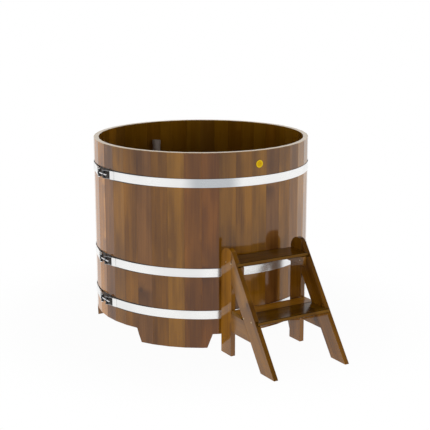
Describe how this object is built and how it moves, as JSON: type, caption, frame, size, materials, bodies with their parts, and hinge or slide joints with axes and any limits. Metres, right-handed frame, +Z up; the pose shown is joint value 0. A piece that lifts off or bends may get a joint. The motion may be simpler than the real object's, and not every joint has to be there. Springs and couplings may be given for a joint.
{
  "type": "wooden plunge tub",
  "caption": "Round wooden plunge tub of upright staves on four feet, with steel hoops, a drain with a standpipe, and a free-standing step ladder.",
  "frame": {"origin": "on the ground at the centre of the tub's four feet, on the tub's axis", "axes": "+Z up along the tub's axis; -Y to the front, where the ladder stands; +X to the right as seen from the front, so the hoop clamps are on -X"},
  "size_m": [1.3515, 1.8753, 1.15],
  "materials": {
    "tub_wood": "glossy varnish",
    "ladder_wood": "glossy varnish",
    "floor_wood": "oiled",
    "hoop_steel": "bright stainless steel",
    "steel_fastener": "stainless steel",
    "badge_brass": "satin",
    "seal_rubber": "matte",
    "drain_plastic": "matte",
    "pipe_plastic": "matte"
  },
  "bodies": {
    "tub": {"badge": "badge_brass", "drain_body": "drain_plastic", "drain_locknut": "drain_plastic", "drain_seal": "seal_rubber", "floor_batten_front": "floor_wood", "floor_batten_middle": "floor_wood", "floor_batten_rear": "floor_wood", "floor_boards": "floor_wood", "floor_screws": "steel_fastener", "lower_hoop_band": "hoop_steel", "lower_hoop_front_lug": "hoop_steel", "lower_hoop_plain_pin": "steel_fastener", "lower_hoop_rear_lug": "hoop_steel", "lower_hoop_tapped_pin": "steel_fastener", "lower_hoop_washer": "steel_fastener", "middle_hoop_band": "hoop_steel", "middle_hoop_front_lug": "hoop_steel", "middle_hoop_plain_pin": "steel_fastener", "middle_hoop_rear_lug": "hoop_steel", "middle_hoop_tapped_pin": "steel_fastener", "middle_hoop_washer": "steel_fastener", "staves_arch_front": "tub_wood", "staves_arch_left": "tub_wood", "staves_arch_rear": "tub_wood", "staves_arch_right": "tub_wood", "staves_foot_front_left": "tub_wood", "staves_foot_front_right": "tub_wood", "staves_foot_rear_left": "tub_wood", "staves_foot_rear_right": "tub_wood", "upper_hoop_band": "hoop_steel", "upper_hoop_front_lug": "hoop_steel", "upper_hoop_plain_pin": "steel_fastener", "upper_hoop_rear_lug": "hoop_steel", "upper_hoop_tapped_pin": "steel_fastener", "upper_hoop_washer": "steel_fastener"},
    "upper_bolt": {"upper_hoop_bolt": "steel_fastener"},
    "middle_bolt": {"middle_hoop_bolt": "steel_fastener"},
    "lower_bolt": {"lower_hoop_bolt": "steel_fastener"},
    "standpipe": {"standpipe_collar": "pipe_plastic", "standpipe_plug": "pipe_plastic", "standpipe_seal": "seal_rubber", "standpipe_tube": "pipe_plastic"},
    "ladder": {"ladder_left_brace": "ladder_wood", "ladder_left_front_leg": "ladder_wood", "ladder_left_lower_cleat": "ladder_wood", "ladder_left_rear_leg": "ladder_wood", "ladder_left_upper_cleat": "ladder_wood", "ladder_lower_back_board": "ladder_wood", "ladder_lower_front_board": "ladder_wood", "ladder_right_brace": "ladder_wood", "ladder_right_front_leg": "ladder_wood", "ladder_right_lower_cleat": "ladder_wood", "ladder_right_rear_leg": "ladder_wood", "ladder_right_upper_cleat": "ladder_wood", "ladder_screws": "steel_fastener", "ladder_upper_tread": "ladder_wood"}
  },
  "joints": [
    {"name": "upper_bolt_turn", "type": "hinge", "parent": "tub", "child": "upper_bolt", "pos_m": [-0.679, 0, 0.977], "axis": [0, -1, 0], "continuous": true},
    {"name": "middle_bolt_turn", "type": "hinge", "parent": "tub", "child": "middle_bolt", "pos_m": [-0.679, 0, 0.45387], "axis": [0, -1, 0], "continuous": true},
    {"name": "lower_bolt_turn", "type": "hinge", "parent": "tub", "child": "lower_bolt", "pos_m": [-0.679, 0, 0.202], "axis": [0, -1, 0], "continuous": true},
    {"name": "standpipe_lift", "type": "slide", "parent": "tub", "child": "standpipe", "axis": [0, 0, 1], "range_m": [0, 1.02]},
    {"name": "ladder_pull", "type": "slide", "parent": "tub", "child": "ladder", "axis": [0, -1, 0], "range_m": [0, 0.5]}
  ]
}
